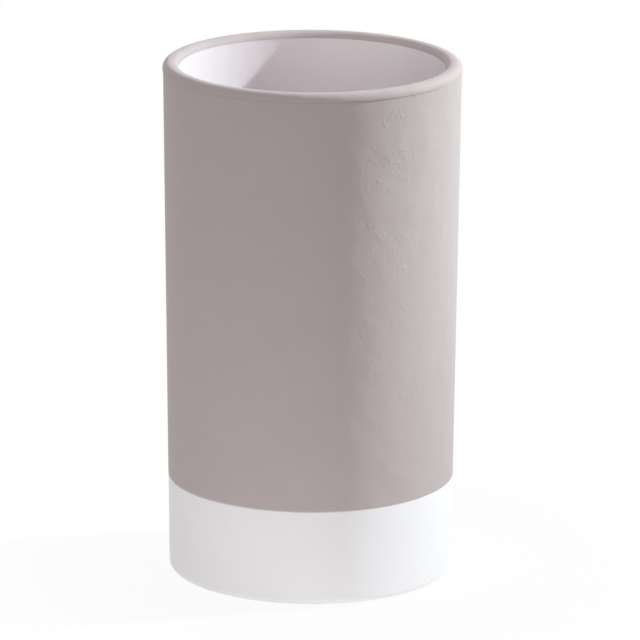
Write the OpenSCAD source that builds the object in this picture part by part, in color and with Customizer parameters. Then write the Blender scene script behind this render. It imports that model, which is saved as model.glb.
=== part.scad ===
// Double-walled toothbrush tumbler.
// A taupe sleeve and rim ring over a white cup, closed from below by a white base on four soft pads.
// All pieces are turned about the Z axis. The pads stand on Z = 0. Sizes are in millimetres.

/* [Sleeve] */
// Outside diameter of the sleeve at its top edge
sleeve_top_d = 70; // [66:0.5:80]
// Outside diameter of the sleeve where it meets the base
sleeve_low_d = 67.7; // [66:0.1:70]
// Height of the sleeve
sleeve_h = 98; // [70:1:130]
// Wall of the sleeve
sleeve_wall = 1.5; // [1.4:0.1:2.2]
// Bevel that breaks the sleeve's two outer edges
sleeve_edge = 0.1; // [0.1:0.05:0.4]

/* [Rim ring] */
// Height of the rim ring that shows outside
rim_h = 2; // [1.9:0.05:2.6]
// How far the rim bead stands proud of the sleeve
rim_proud = 0.15; // [0.05:0.05:0.5]
// Radius of the bead's outer rounding
rim_outer_round = 1.7; // [1.2:0.05:1.8]
// Radius of the bead's inner rounding
rim_inner_round = 1.85; // [1.2:0.05:1.85]
// Height from the cup's top edge to the top of the rim
lip_h = 1.5; // [1.3:0.05:1.8]
// How far the rim overhangs the inside of the cup
lip_over = 0.1; // [0:0.05:0.3]
// Length of the snap tongue below the sleeve's top edge
tongue_h = 5; // [4:0.5:9]
// Thickness of the snap tongue
tongue_t = 0.75; // [0.7:0.05:1.2]

/* [Cup] */
// Wall of the cup
cup_wall = 1.2; // [1.1:0.1:2]
// Thickness of the cup's floor
cup_floor = 2; // [1.5:0.1:4]
// Radius between the cup's floor and wall, inside
cup_fillet = 6; // [2:0.5:12]
// Height of the foot ring under the cup
cup_foot_h = 1; // [0.6:0.1:3]
// Width of the foot ring under the cup
cup_foot_w = 3; // [2:0.5:6]
// Height of the collar round the cup that the seal lies on
collar_h = 1.8; // [1.4:0.1:3]

/* [Seal] */
// Thickness of the seal
seal_t = 0.8; // [0.5:0.05:1.2]

/* [Base] */
// Height of the white band that shows
base_h = 23; // [14:0.5:40]
// How far the base's wall lies inside the sleeve's at the joint
base_inset = 0.05; // [0:0.05:0.4]
// How much the base's radius narrows from the joint down to its bottom rounding
base_taper = 0.25; // [0:0.05:1.2]
// Radius of the base's bottom edge
base_round = 1.6; // [0.6:0.1:2.5]
// Bevel on the base's edge at the joint with the sleeve
base_edge = 0.25; // [0.1:0.05:0.4]
// Thickness of the base's floor
base_floor = 2; // [1.6:0.1:3]
// Depth of the recess under the base
recess_d = 1; // [0.5:0.1:2]
// Width of the standing ring round the recess
recess_rim_w = 4; // [3:0.5:5]
// Height of the spigot that goes up into the sleeve
spigot_h = 10; // [7:0.5:16]
// Thickness of the spigot
spigot_t = 1.6; // [1.2:0.1:2.2]
// Number of snap fingers that the slots part the spigot into
finger_count = 8; // [4:1:12]
// Width of a slot between two snap fingers
slot_w = 2; // [1:0.5:4]
// Height of the whole band at the root of the fingers
finger_root_h = 2; // [1:0.5:3]

/* [Ribs] */
// Number of ribs under the cup
rib_count = 8; // [4:1:12]
// Thickness of a rib
rib_t = 1.4; // [1:0.1:2.5]
// Height of the ribs that the cup stands on
rib_h = 2.5; // [1.5:0.1:6]
// Height of the gussets that centre the cup, above the ribs
gusset_h = 6; // [3:0.5:9]
// Diameter of the boss where the ribs meet
boss_d = 14; // [10:1:30]

/* [Snaps] */
// Radius of the snap bead on the base's spigot
base_bead_r = 0.6; // [0.45:0.05:0.8]
// How far that bead stands out of the spigot
base_bead_out = 0.35; // [0.2:0.05:0.45]
// Radius of the snap bead on the rim ring's tongue
rim_bead_r = 0.4; // [0.3:0.05:0.6]
// How far that bead stands out of the tongue
rim_bead_out = 0.25; // [0.15:0.05:0.3]

/* [Pads] */
// Diameter of a foot pad
pad_d = 11; // [8:0.5:14]
// How far the pads stand out below the base
pad_stand = 0.5; // [0.3:0.1:1]
// Depth of the pocket that holds a pad
pocket_d = 0.7; // [0.4:0.1:1]
// Diameter of the circle that the pads lie on
pad_circle_d = 44; // [36:1:46]
// Bevel round the pad's lower edge
pad_edge = 0.4; // [0.2:0.1:0.8]

/* [Fits] */
// Clearance between two pieces that slide together
fit_gap = 0.1; // [0.05:0.01:0.15]
// Clearance between the cup and the top of the spigot
cup_gap = 0.4; // [0.2:0.1:1]
// Clearance round a pad in its pocket
pad_gap = 0.15; // [0.05:0.05:0.3]

/* [Hidden] */
$fn = 96;
// How far a cutting shape runs past the face that it cuts
overrun = 1;
// Where along the tongue and the spigot their snap beads lie
tongue_bead_share = 0.6;
spigot_bead_share = 0.6;
// How much of the spigot's wall its lead-in bevel takes
lead_share = 0.3;
// How much of the collar's height its bevelled underside takes
collar_lead_share = 0.6;
// Least radius that the cup loses for each unit of its height, so that it leaves its mould
least_draft_share = 0.01;
// Number of foot pads, and the direction of the first
pad_count = 4;
pad_start = 45;

// Heights above the floor
base_low_z = pad_stand;
seam_z = base_low_z + base_h;
sleeve_top_z = seam_z + sleeve_h;
total_h = sleeve_top_z + rim_h;
base_floor_z = base_low_z + recess_d + base_floor;
rib_top_z = base_floor_z + rib_h;
gusset_top_z = rib_top_z + gusset_h;
spigot_top_z = seam_z + spigot_h;
spigot_bead_z = seam_z + spigot_bead_share * spigot_h;
cup_low_z = rib_top_z;
cup_floor_z = cup_low_z + cup_foot_h + cup_floor;
cup_top_z = total_h - lip_h;
tongue_low_z = sleeve_top_z - tongue_h;
seal_low_z = tongue_low_z - seal_t;
collar_low_z = seal_low_z - collar_h;
tongue_bead_z = sleeve_top_z - tongue_bead_share * tongue_h;
pad_top_z = base_low_z + recess_d + pocket_d;

// Radii of the sleeve, outside and inside, at any height
function sleeve_r(z) =
    sleeve_low_d / 2 + (sleeve_top_d - sleeve_low_d) / 2 * (z - seam_z) / sleeve_h;
function bore_r(z) = sleeve_r(z) - sleeve_wall;

// Radii of the rim ring, from the outside in
rim_out_r = sleeve_top_d / 2 + rim_proud;
tongue_out_r = min(bore_r(tongue_low_z), bore_r(sleeve_top_z)) - fit_gap;
tongue_in_r = tongue_out_r - tongue_t;
cup_top_r = tongue_in_r - fit_gap;
rim_in_r = cup_top_r - cup_wall - lip_over;
collar_r = min(bore_r(collar_low_z), bore_r(tongue_low_z)) - fit_gap;

// Radii of the base
base_top_r = sleeve_r(seam_z) - base_inset;
base_low_r = base_top_r - base_taper;
recess_r = base_low_r - recess_rim_w;
spigot_r = bore_r(seam_z) - fit_gap;
base_bore_r = spigot_r - spigot_t;

// Outside radius of the cup at any height: it clears the top of the spigot by cup_gap
cup_slope = max(least_draft_share, (cup_top_r - (base_bore_r - cup_gap)) / (cup_top_z - spigot_top_z));
cup_angle = atan(cup_slope);
function cup_r(z) = cup_top_r - cup_slope * (cup_top_z - z);
function cup_in_r(z) = cup_r(z) - cup_wall;

// A solid turned from a profile, whose X is the radius and Y the height
module turned() rotate_extrude() children();

// A flat ring section between two radii and two heights
module section(r1, r2, z1, z2) translate([r1, z1]) square([r2 - r1, z2 - z1]);

// Copies turned round the Z axis, the first at angle start
module around(count, start = 0)
    for (i = [0 : count - 1]) rotate([0, 0, start + 360 * i / count]) children();

// Centres of the two snap beads, as radius and height
spigot_bead_at = [bore_r(spigot_bead_z) - fit_gap - (base_bead_r - base_bead_out), spigot_bead_z];
tongue_bead_at = [tongue_out_r - (rim_bead_r - rim_bead_out), tongue_bead_z];

// Sleeve: a tapered tube with a snap groove near each end
module outer_sleeve() color([0.62, 0.57, 0.57]) turned() difference() {
    polygon([
        [bore_r(seam_z), seam_z],
        [sleeve_r(seam_z) - sleeve_edge, seam_z],
        [sleeve_r(seam_z + sleeve_edge), seam_z + sleeve_edge],
        [sleeve_r(sleeve_top_z - sleeve_edge), sleeve_top_z - sleeve_edge],
        [sleeve_r(sleeve_top_z) - sleeve_edge, sleeve_top_z],
        [bore_r(sleeve_top_z), sleeve_top_z],
    ]);
    translate(spigot_bead_at) circle(base_bead_r + fit_gap);
    translate(tongue_bead_at) circle(rim_bead_r + fit_gap);
}

// Rim ring: a rounded bead over the edges of the sleeve and the cup, and a snap tongue between them
module rim_ring() color([0.66, 0.61, 0.61]) turned() {
    difference() {
        union() {
            translate([rim_out_r - rim_outer_round, total_h - rim_outer_round]) circle(rim_outer_round);
            translate([rim_in_r + rim_inner_round, total_h - rim_inner_round]) circle(rim_inner_round);
            section(rim_in_r + rim_inner_round, rim_out_r - rim_outer_round, sleeve_top_z, total_h);
            section(rim_in_r, rim_in_r + rim_inner_round, sleeve_top_z, total_h - rim_inner_round);
        }
        section(0, tongue_in_r, sleeve_top_z - rim_h, cup_top_z);
        section(0, rim_out_r + overrun, sleeve_top_z - rim_h, sleeve_top_z);
    }
    section(tongue_in_r, tongue_out_r, tongue_low_z, sleeve_top_z + fit_gap);
    intersection() {
        translate(tongue_bead_at) circle(rim_bead_r);
        section(tongue_in_r, rim_out_r, tongue_low_z, sleeve_top_z);
    }
}

// Cup: a tapered liner with a rounded floor corner, a foot ring and the seal's collar
module inner_cup() color([0.93, 0.92, 0.93]) turned() difference() {
    polygon([
        [0, cup_low_z],
        [cup_r(cup_low_z) - cup_foot_h, cup_low_z],
        [cup_r(cup_low_z + cup_foot_h), cup_low_z + cup_foot_h],
        [cup_r(collar_low_z), collar_low_z],
        [collar_r, collar_low_z + collar_lead_share * collar_h],
        [collar_r, seal_low_z],
        [cup_r(seal_low_z), seal_low_z],
        [cup_top_r, cup_top_z],
        [0, cup_top_z],
    ]);
    cup_hollow();
    section(0, cup_r(cup_low_z) - cup_foot_h - cup_foot_w, cup_low_z - overrun, cup_low_z + cup_foot_h);
}

// Inside of the cup, as a half profile
module cup_hollow() {
    corner_z = cup_floor_z + cup_fillet;
    corner_r = cup_in_r(corner_z) - cup_fillet / cos(cup_angle);
    touch_z = corner_z - cup_fillet * sin(cup_angle);
    polygon([
        [0, cup_floor_z],
        [corner_r, cup_floor_z],
        [cup_in_r(touch_z), touch_z],
        [cup_in_r(cup_top_z + overrun), cup_top_z + overrun],
        [0, cup_top_z + overrun],
    ]);
    translate([corner_r, corner_z]) circle(cup_fillet);
}

// Seal: a flat soft ring that the tongue presses onto the cup's collar
module rim_seal() color([0.8, 0.8, 0.8]) turned()
    section(cup_r(tongue_low_z) + fit_gap, collar_r, seal_low_z, tongue_low_z);

// Base: the white band with its floor, the slotted snap spigot and the ribs that carry the cup
module base() color([0.95, 0.95, 0.96]) difference() {
    union() {
        turned() base_profile();
        difference() {
            turned() spigot_profile();
            around(finger_count) finger_slot();
        }
        around(rib_count) rib();
        boss();
    }
    around(pad_count, pad_start) translate([pad_circle_d / 2, 0, pad_top_z - pocket_d - overrun])
        cylinder(r = pad_d / 2 + pad_gap, h = pocket_d + overrun);
}

// Band and floor of the base, as a half profile
module base_profile() difference() {
    union() {
        polygon([
            [0, base_low_z],
            [base_low_r - base_round, base_low_z],
            [base_low_r, base_low_z + base_round],
            [base_top_r, seam_z - base_edge],
            [base_top_r - base_edge, seam_z],
            [0, seam_z],
        ]);
        translate([base_low_r - base_round, base_low_z + base_round]) circle(base_round);
    }
    section(0, base_bore_r, base_floor_z, seam_z + overrun);
    section(0, recess_r, base_low_z - overrun, base_low_z + recess_d);
}

// Spigot with its snap bead and a lead-in bevel, as a half profile
module spigot_profile() {
    lead = lead_share * spigot_t;
    polygon([
        [base_bore_r, seam_z - overrun],
        [spigot_r, seam_z - overrun],
        [spigot_r, seam_z],
        [bore_r(spigot_top_z) - fit_gap, spigot_top_z - lead],
        [bore_r(spigot_top_z) - fit_gap - lead, spigot_top_z],
        [base_bore_r, spigot_top_z],
    ]);
    translate(spigot_bead_at) circle(base_bead_r);
}

// Slot that parts two snap fingers
module finger_slot()
    translate([base_bore_r - overrun, -slot_w / 2, seam_z + finger_root_h])
        cube([spigot_t + 2 * overrun + base_bead_out, slot_w, spigot_h]);

// Rib from the boss to the band, with a gusset that follows the cup's taper
module rib() translate([0, rib_t / 2, 0]) rotate([90, 0, 0]) linear_extrude(rib_t)
    polygon([
        [boss_d / 2 - overrun, base_floor_z - overrun],
        [base_bore_r + overrun, base_floor_z - overrun],
        [base_bore_r + overrun, gusset_top_z],
        [cup_r(gusset_top_z) + fit_gap, gusset_top_z],
        [cup_r(rib_top_z) + fit_gap, rib_top_z],
        [boss_d / 2 - overrun, rib_top_z],
    ]);

// Round boss in the middle of the ribs
module boss() translate([0, 0, base_floor_z - overrun]) cylinder(r = boss_d / 2, h = rib_h + overrun);

// Foot pad: a soft disc, number i of four, with a bevelled lower edge
module foot_pad(i) color([0.75, 0.75, 0.75]) rotate([0, 0, pad_start + 360 * (i - 1) / pad_count])
    translate([pad_circle_d / 2, 0, 0]) turned() polygon([
        [0, 0],
        [pad_d / 2 - pad_edge, 0],
        [pad_d / 2, pad_edge],
        [pad_d / 2, pad_top_z],
        [0, pad_top_z],
    ]);

outer_sleeve();
rim_ring();
inner_cup();
rim_seal();
base();
foot_pad(1);  // foot_pad_1
foot_pad(2);  // foot_pad_2
foot_pad(3);  // foot_pad_3
foot_pad(4);  // foot_pad_4
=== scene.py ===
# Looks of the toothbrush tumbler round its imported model. Lengths are in metres, Z is up.
import math

import bpy
from mathutils import Matrix, Vector

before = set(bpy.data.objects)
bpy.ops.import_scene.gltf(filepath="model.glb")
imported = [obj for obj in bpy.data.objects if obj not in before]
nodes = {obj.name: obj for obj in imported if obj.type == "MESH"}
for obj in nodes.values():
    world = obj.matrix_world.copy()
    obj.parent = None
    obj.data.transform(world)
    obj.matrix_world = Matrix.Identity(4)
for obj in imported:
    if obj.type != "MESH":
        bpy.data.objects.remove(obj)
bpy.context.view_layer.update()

# Camera, as fitted to the outlines in the photograph. Its distance and elevation are taken from
# the pivot, a height on the tumbler's axis, and it looks at the aim.
CAMERA_DISTANCE = 1.5
CAMERA_ELEVATION = math.radians(15.1)
CAMERA_ROLL = math.radians(0.3)
CAMERA_PIVOT = 0.0605
CAMERA_AIM = Vector((0.00205, 0.0, 0.0607))
CAMERA_CLIP = (0.05, 20.0)
IMAGE_PIXELS = 640
FOCAL_PIXELS = 6342.0
SENSOR_WIDTH_MM = 36.0

# Key light, from the right and a little behind. It points above the rim, and its soft cone fades
# from there towards the foot.
KEY_STRENGTH = 4.0
KEY_COLOUR = (0.885, 1.0, 1.025)
KEY_AZIMUTH = math.radians(12.8)
KEY_ELEVATION = math.radians(26.0)
KEY_DISTANCE = 1.6
KEY_HEIGHT = 0.15
KEY_CONE = math.radians(16.0)
KEY_RADIUS = 0.055
# A strip-shaped flag holds part of the key off the white band. Its two edges soften between these
# heights, measured on the tumbler's axis, and this share of the light passes it.
FLAG_TOP = (0.006, 0.016)
FLAG_FOOT = (-0.030, -0.017)
FLAG_PASSES = 0.48

# Soft surroundings: lobes given as direction, sharpness and strength
SKY_LOBES = (
    ((0.0, 0.0, 1.0), 3.0, 0.75),
    ((0.0, -1.0, 0.0), 8.0, 2.6),
    ((-0.7, -0.7, 0.1), 4.0, 0.5),
    ((0.0, 0.9, 0.44), 4.0, 1.17),
)
PURE_WHITE = (1.0, 1.0, 1.0, 1.0)

# Floor, a hair under the feet so that the two surfaces do not coincide
FLOOR_HALF = 6.0
FLOOR_HEIGHT = -0.00002
FLOOR_COLOUR = (0.5, 0.5, 0.5)
FLOOR_GLOW = 0.46
# In front the pale table ends softly between these two places, beyond which it is dark
TABLE_END = (-0.28, -0.12)
BEYOND_TABLE = (0.05, 0.05, 0.05)
# How much of the floor's own shading shows through its white, and the distances over which that
# fades out
FLOOR_SHOWS = 0.1
SHADE_END = (0.03, 0.11)
FLOOR_SEEN = (0.95, 0.95, 0.95)

# Colours of the three plastics, in linear light
TAUPE = (0.5295, 0.45, 0.4435)
WHITE = (0.94, 0.908, 0.921)
CUP_WHITE = (0.845, 0.775, 0.79)

# Moulded plastic: scales of its noises, per metre
BLOTCH_SCALE = 1 / 0.018
SPECK_SCALE = 2600.0
WAVE_SCALE = 150.0
MARK_SCALE = 760.0
PATCH_SCALE = 140.0
SKIN_SCALE = 1500.0
# Share of the blotches in the tint, which the specks make up to one
BLOTCH_SHARE = 0.75
# Ranges of noise over which the tint, the roughness, a mark and a patch of marks rise
TINT_RANGE = (0.35, 0.65)
ROUGHNESS_RANGE = (0.3, 0.7)
MARK_RANGE = (0.52, 0.74)
PATCH_RANGE = (0.40, 0.58)
# Height of the marks between the patches
PATCH_LOW = 0.15
ROUGHNESS_CHANGE = 0.03
SHEEN_ROUGHNESS = 0.5
# What the two white plastics have in common
WHITE_FINISH = {"sheen": 0.0, "mottle": 0.008, "wave": 0.00003, "grain": 0.000004,
                "skin": 0.000002}

# Silicone: scales of its cloud and of its sandy skin, and the height of the sand
SILICONE_TINTS = ((0.66, 0.66, 0.65), (0.76, 0.76, 0.75))
CLOUD_SCALE = 300.0
SAND_SCALE = 3000.0
SAND_HEIGHT = 0.00001

# Foam: scale of its cells, the range over which their pits are painted darker as shade, and their
# depth
FOAM_PIT_SHADE_TINTS = ((0.40, 0.40, 0.40), (0.52, 0.52, 0.51))
CELL_SCALE = 1500.0
CELL_SHADE_RANGE = (0.1, 0.6)
CELL_DEPTH = 0.00008


class Tree:
    """Short helpers for building a node tree."""

    def __init__(self, tree):
        self.tree = tree

    def add(self, kind, **settings):
        node = self.tree.nodes.new(kind)
        for name, value in settings.items():
            setattr(node, name, value)
        return node

    def link(self, source, target):
        self.tree.links.new(source, target)

    def put(self, socket, value):
        """Sets a socket to a constant, or links another socket to it."""
        if isinstance(value, bpy.types.NodeSocket):
            self.link(value, socket)
        else:
            socket.default_value = value

    def put_all(self, node, values):
        """Puts a value on each named input."""
        for name, value in values.items():
            self.put(node.inputs[name], value)

    def math(self, operation, first, second):
        node = self.add("ShaderNodeMath", operation=operation)
        self.put(node.inputs[0], first)
        self.put(node.inputs[1], second)
        return node.outputs[0]

    def remap(self, value, low, high, to_low, to_high, kind="LINEAR"):
        """Carries a value from one range to another, clamped at its ends."""
        node = self.add("ShaderNodeMapRange", interpolation_type=kind)
        self.put_all(node, {"Value": value, "From Min": low, "From Max": high,
                            "To Min": to_low, "To Max": to_high})
        return node.outputs[0]

    def smooth(self, value, edges, to_low=0.0, to_high=1.0):
        """A soft step between two edges."""
        return self.remap(value, *edges, to_low, to_high, "SMOOTHSTEP")

    def noise(self, coordinates, scale, detail=1.0, roughness=0.5, distortion=0.0):
        node = self.add("ShaderNodeTexNoise")
        self.put_all(node, {"Vector": coordinates, "Scale": scale, "Detail": detail,
                            "Roughness": roughness, "Distortion": distortion})
        return node.outputs[0]

    def parts(self, vector):
        """The X, Y and Z outputs of a vector."""
        node = self.add("ShaderNodeSeparateXYZ")
        self.link(vector, node.inputs[0])
        return node.outputs

    def between(self, share, first, second):
        """A colour between two colours."""
        node = self.add("ShaderNodeMix", data_type="RGBA")
        self.put_all(node, {"Factor": share, "A": (*first, 1), "B": (*second, 1)})
        return node.outputs["Result"]

    def bump(self, height, distance, under=None):
        """Bump whose height of one stands for a real distance."""
        node = self.add("ShaderNodeBump")
        self.put_all(node, {"Height": height, "Distance": distance, "Strength": 1.0})
        if under is not None:
            self.link(under, node.inputs["Normal"])
        return node.outputs[0]

    def mixed(self, share, first, second):
        """A shader between two shaders."""
        node = self.add("ShaderNodeMixShader")
        self.put(node.inputs[0], share)
        self.link(first, node.inputs[1])
        self.link(second, node.inputs[2])
        return node.outputs[0]

    def diffuse(self, colour):
        node = self.add("ShaderNodeBsdfDiffuse")
        node.inputs["Color"].default_value = (*colour, 1)
        return node.outputs[0]

    def glow(self, strength):
        node = self.add("ShaderNodeEmission")
        node.inputs["Strength"].default_value = strength
        return node.outputs[0]

    def seen_directly(self):
        """One for rays that come from the camera, a reflection or a clear piece."""
        path = self.add("ShaderNodeLightPath").outputs
        seen = self.math("MAXIMUM", path["Is Camera Ray"], path["Is Glossy Ray"])
        return self.math("MAXIMUM", seen, path["Is Transmission Ray"])


def new_material(name):
    """A material with its node tree helper and its Principled shader."""
    material = bpy.data.materials.new(name)
    material.use_nodes = True
    return material, Tree(material.node_tree), material.node_tree.nodes["Principled BSDF"]


def place_on_piece(tree):
    return tree.add("ShaderNodeTexCoord").outputs["Object"]


def scaled(colour, factor):
    return tuple(factor * part for part in colour)


def moulded(name, colour, roughness, specular, sheen, mottle, wave, grain, skin):
    """Moulded plastic: faint mottling, slow waves of the wall, short raised marks and a fine skin.

    The mottle is a share of the colour. The wave, grain and skin are heights in metres.
    """
    material, tree, shader = new_material(name)
    place = place_on_piece(tree)
    blotches = tree.noise(place, BLOTCH_SCALE, detail=3.0)
    specks = tree.noise(place, SPECK_SCALE)
    share = tree.math("ADD", tree.math("MULTIPLY", blotches, BLOTCH_SHARE),
                      tree.math("MULTIPLY", specks, 1 - BLOTCH_SHARE))
    tint = tree.between(tree.remap(share, *TINT_RANGE, 0.0, 1.0),
                        scaled(colour, 1 - mottle), scaled(colour, 1 + mottle))
    uneven = tree.remap(blotches, *ROUGHNESS_RANGE,
                        roughness - ROUGHNESS_CHANGE, roughness + ROUGHNESS_CHANGE)

    wave_height = tree.noise(place, WAVE_SCALE, roughness=0.4)
    marks = tree.smooth(tree.noise(place, MARK_SCALE, distortion=0.5), MARK_RANGE)
    patches = tree.smooth(tree.noise(place, PATCH_SCALE, detail=2.0), PATCH_RANGE, PATCH_LOW)
    mark_height = tree.math("MULTIPLY", marks, patches)
    skin_height = tree.noise(place, SKIN_SCALE)
    normal = tree.bump(wave_height, wave)
    normal = tree.bump(mark_height, grain, normal)
    normal = tree.bump(skin_height, skin, normal)

    tree.put_all(shader, {"Base Color": tint, "Roughness": uneven, "Specular IOR Level": specular,
                          "Sheen Weight": sheen, "Sheen Roughness": SHEEN_ROUGHNESS,
                          "Normal": normal})
    return material


def silicone(name):
    """Soft translucent silicone with a faintly sandy skin."""
    material, tree, shader = new_material(name)
    place = place_on_piece(tree)
    cloud = tree.noise(place, CLOUD_SCALE, detail=3.0)
    sand = tree.noise(place, SAND_SCALE, detail=2.0)
    tree.put_all(shader, {"Base Color": tree.between(cloud, *SILICONE_TINTS), "Roughness": 0.42,
                          "Transmission Weight": 0.35, "IOR": 1.41,
                          "Normal": tree.bump(sand, SAND_HEIGHT)})
    return material


def foam(name):
    """Fine closed-cell foam with small pits, whose bottoms are painted darker as shade."""
    material, tree, shader = new_material(name)
    cells = tree.add("ShaderNodeTexVoronoi", feature="SMOOTH_F1")
    tree.put_all(cells, {"Vector": place_on_piece(tree), "Scale": CELL_SCALE})
    depth = cells.outputs["Distance"]
    # Painted shade: the colour darkens towards the bottom of each pit, following the same depth as
    # the bump.
    tint = tree.between(tree.remap(depth, *CELL_SHADE_RANGE, 0.0, 1.0), *FOAM_PIT_SHADE_TINTS)
    tree.put_all(shader, {"Base Color": tint, "Roughness": 0.85, "Specular IOR Level": 0.3,
                          "Normal": tree.bump(depth, CELL_DEPTH)})
    return material


def assign(node, material):
    """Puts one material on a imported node."""
    mesh = nodes[node].data
    mesh.materials.clear()
    mesh.materials.append(material)


def dress():
    """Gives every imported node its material."""
    taupe = moulded("taupe_plastic", TAUPE, roughness=0.65, specular=0.15, sheen=0.1,
                    mottle=0.012, wave=0.0004, grain=0.000045, skin=0.000006)
    band_white = moulded("white_plastic", WHITE, roughness=0.45, specular=0.2, **WHITE_FINISH)
    cup_white = moulded("cup_white_plastic", CUP_WHITE, roughness=0.4, specular=0.35,
                        **WHITE_FINISH)
    assign("outer_sleeve", taupe)
    assign("rim_ring", taupe)
    assign("base", band_white)
    assign("inner_cup", cup_white)
    assign("rim_seal", silicone("clear_silicone"))
    pad = foam("pad_foam")
    for number in range(1, 5):
        assign("foot_pad_%d" % number, pad)


def make_floor():
    """Pale table: white with a faint shadow where it is seen, a glowing sheet where it lights."""
    mesh = bpy.data.meshes.new("floor")
    corners = [(x * FLOOR_HALF, y * FLOOR_HALF, FLOOR_HEIGHT)
               for x, y in ((-1, -1), (1, -1), (1, 1), (-1, 1))]
    mesh.from_pydata(corners, [], [(0, 1, 2, 3)])
    floor = bpy.data.objects.new("floor", mesh)
    bpy.context.scene.collection.objects.link(floor)
    material, tree, shader = new_material("floor")
    tree.tree.nodes.remove(shader)
    place = tree.add("ShaderNodeNewGeometry").outputs["Position"]

    sheet = tree.add("ShaderNodeAddShader")
    tree.link(tree.diffuse(FLOOR_COLOUR), sheet.inputs[0])
    tree.link(tree.glow(FLOOR_GLOW), sheet.inputs[1])
    on_table = tree.smooth(tree.parts(place)["Y"], TABLE_END)
    lights = tree.mixed(on_table, tree.diffuse(BEYOND_TABLE), sheet.outputs[0])

    away = tree.add("ShaderNodeVectorMath", operation="LENGTH")
    tree.link(place, away.inputs[0])
    shows = tree.smooth(away.outputs["Value"], SHADE_END, FLOOR_SHOWS, 0.0)
    looks = tree.mixed(shows, tree.glow(1.0), tree.diffuse(FLOOR_SEEN))

    floor_shader = tree.mixed(tree.seen_directly(), lights, looks)
    tree.link(floor_shader, tree.tree.nodes["Material Output"].inputs[0])
    mesh.materials.append(material)


def make_world():
    """Soft surroundings that light the tumbler, white where they are seen."""
    world = bpy.data.worlds.new("world")
    bpy.context.scene.world = world
    world.use_nodes = True
    tree = Tree(world.node_tree)
    towards = tree.add("ShaderNodeTexCoord").outputs["Generated"]
    total = 0.0
    for direction, sharpness, strength in SKY_LOBES:
        dot = tree.add("ShaderNodeVectorMath", operation="DOT_PRODUCT")
        tree.link(towards, dot.inputs[0])
        dot.inputs[1].default_value = direction
        facing = tree.math("MAXIMUM", dot.outputs["Value"], 0.0)
        lobe = tree.math("POWER", facing, sharpness)
        total = tree.math("ADD", tree.math("MULTIPLY", lobe, strength), total)
    lights = tree.tree.nodes["Background"]
    tree.put_all(lights, {"Strength": total, "Color": PURE_WHITE})
    looks = tree.add("ShaderNodeBackground")
    tree.put_all(looks, {"Strength": 1.0, "Color": PURE_WHITE})
    surroundings = tree.mixed(tree.seen_directly(), lights.outputs[0], looks.outputs[0])
    tree.link(surroundings, tree.tree.nodes["World Output"].inputs[0])


def flag_share(tree):
    """Share of the key that passes the flag, by how far above or below its axis a ray leaves."""
    def leaving(height):
        return math.sin((height - KEY_HEIGHT) * math.cos(KEY_ELEVATION) / KEY_DISTANCE)

    upward = tree.parts(tree.add("ShaderNodeTexCoord").outputs["Normal"])["Y"]
    below_top = tree.smooth(upward, map(leaving, FLAG_TOP), 1.0, 0.0)
    above_foot = tree.smooth(upward, map(leaving, FLAG_FOOT))
    covered = tree.math("MULTIPLY", below_top, above_foot)
    return tree.remap(covered, 0.0, 1.0, 1.0, FLAG_PASSES)


def make_key():
    """Soft spot from the right and a little behind, which fades towards the foot."""
    flat = math.cos(KEY_ELEVATION)
    towards = Vector((flat * math.cos(KEY_AZIMUTH), flat * math.sin(KEY_AZIMUTH),
                      math.sin(KEY_ELEVATION)))
    data = bpy.data.lights.new("key", "SPOT")
    data.energy = KEY_STRENGTH * 4 * math.pi * KEY_DISTANCE ** 2
    data.color = KEY_COLOUR
    data.spot_size = KEY_CONE
    data.spot_blend = 1.0
    data.shadow_soft_size = KEY_RADIUS
    lamp = bpy.data.objects.new("key", data)
    bpy.context.scene.collection.objects.link(lamp)
    lamp.location = Vector((0, 0, KEY_HEIGHT)) + KEY_DISTANCE * towards
    lamp.rotation_euler = towards.to_track_quat("Z", "Y").to_euler()
    lamp.visible_camera = False
    data.use_nodes = True
    tree = Tree(data.node_tree)
    tree.link(flag_share(tree), tree.tree.nodes["Emission"].inputs["Strength"])


def make_camera():
    """A long lens that looks a little down on the tumbler."""
    data = bpy.data.cameras.new("camera")
    data.sensor_width = SENSOR_WIDTH_MM
    data.lens = FOCAL_PIXELS * SENSOR_WIDTH_MM / IMAGE_PIXELS
    data.clip_start, data.clip_end = CAMERA_CLIP
    camera = bpy.data.objects.new("camera", data)
    bpy.context.scene.collection.objects.link(camera)
    eye = Vector((0, -CAMERA_DISTANCE * math.cos(CAMERA_ELEVATION),
                  CAMERA_PIVOT + CAMERA_DISTANCE * math.sin(CAMERA_ELEVATION)))
    ahead = (CAMERA_AIM - eye).normalized()
    right = ahead.cross(Vector((0, 0, 1))).normalized()
    up = right.cross(ahead)
    turned_right = math.cos(CAMERA_ROLL) * right + math.sin(CAMERA_ROLL) * up
    turned_up = -math.sin(CAMERA_ROLL) * right + math.cos(CAMERA_ROLL) * up
    turn = Matrix((turned_right, turned_up, -ahead)).transposed()
    camera.matrix_world = Matrix.Translation(eye) @ turn.to_4x4()
    bpy.context.scene.camera = camera


dress()
make_floor()
make_world()
make_key()
make_camera()
bpy.context.scene.view_settings.view_transform = "Standard"
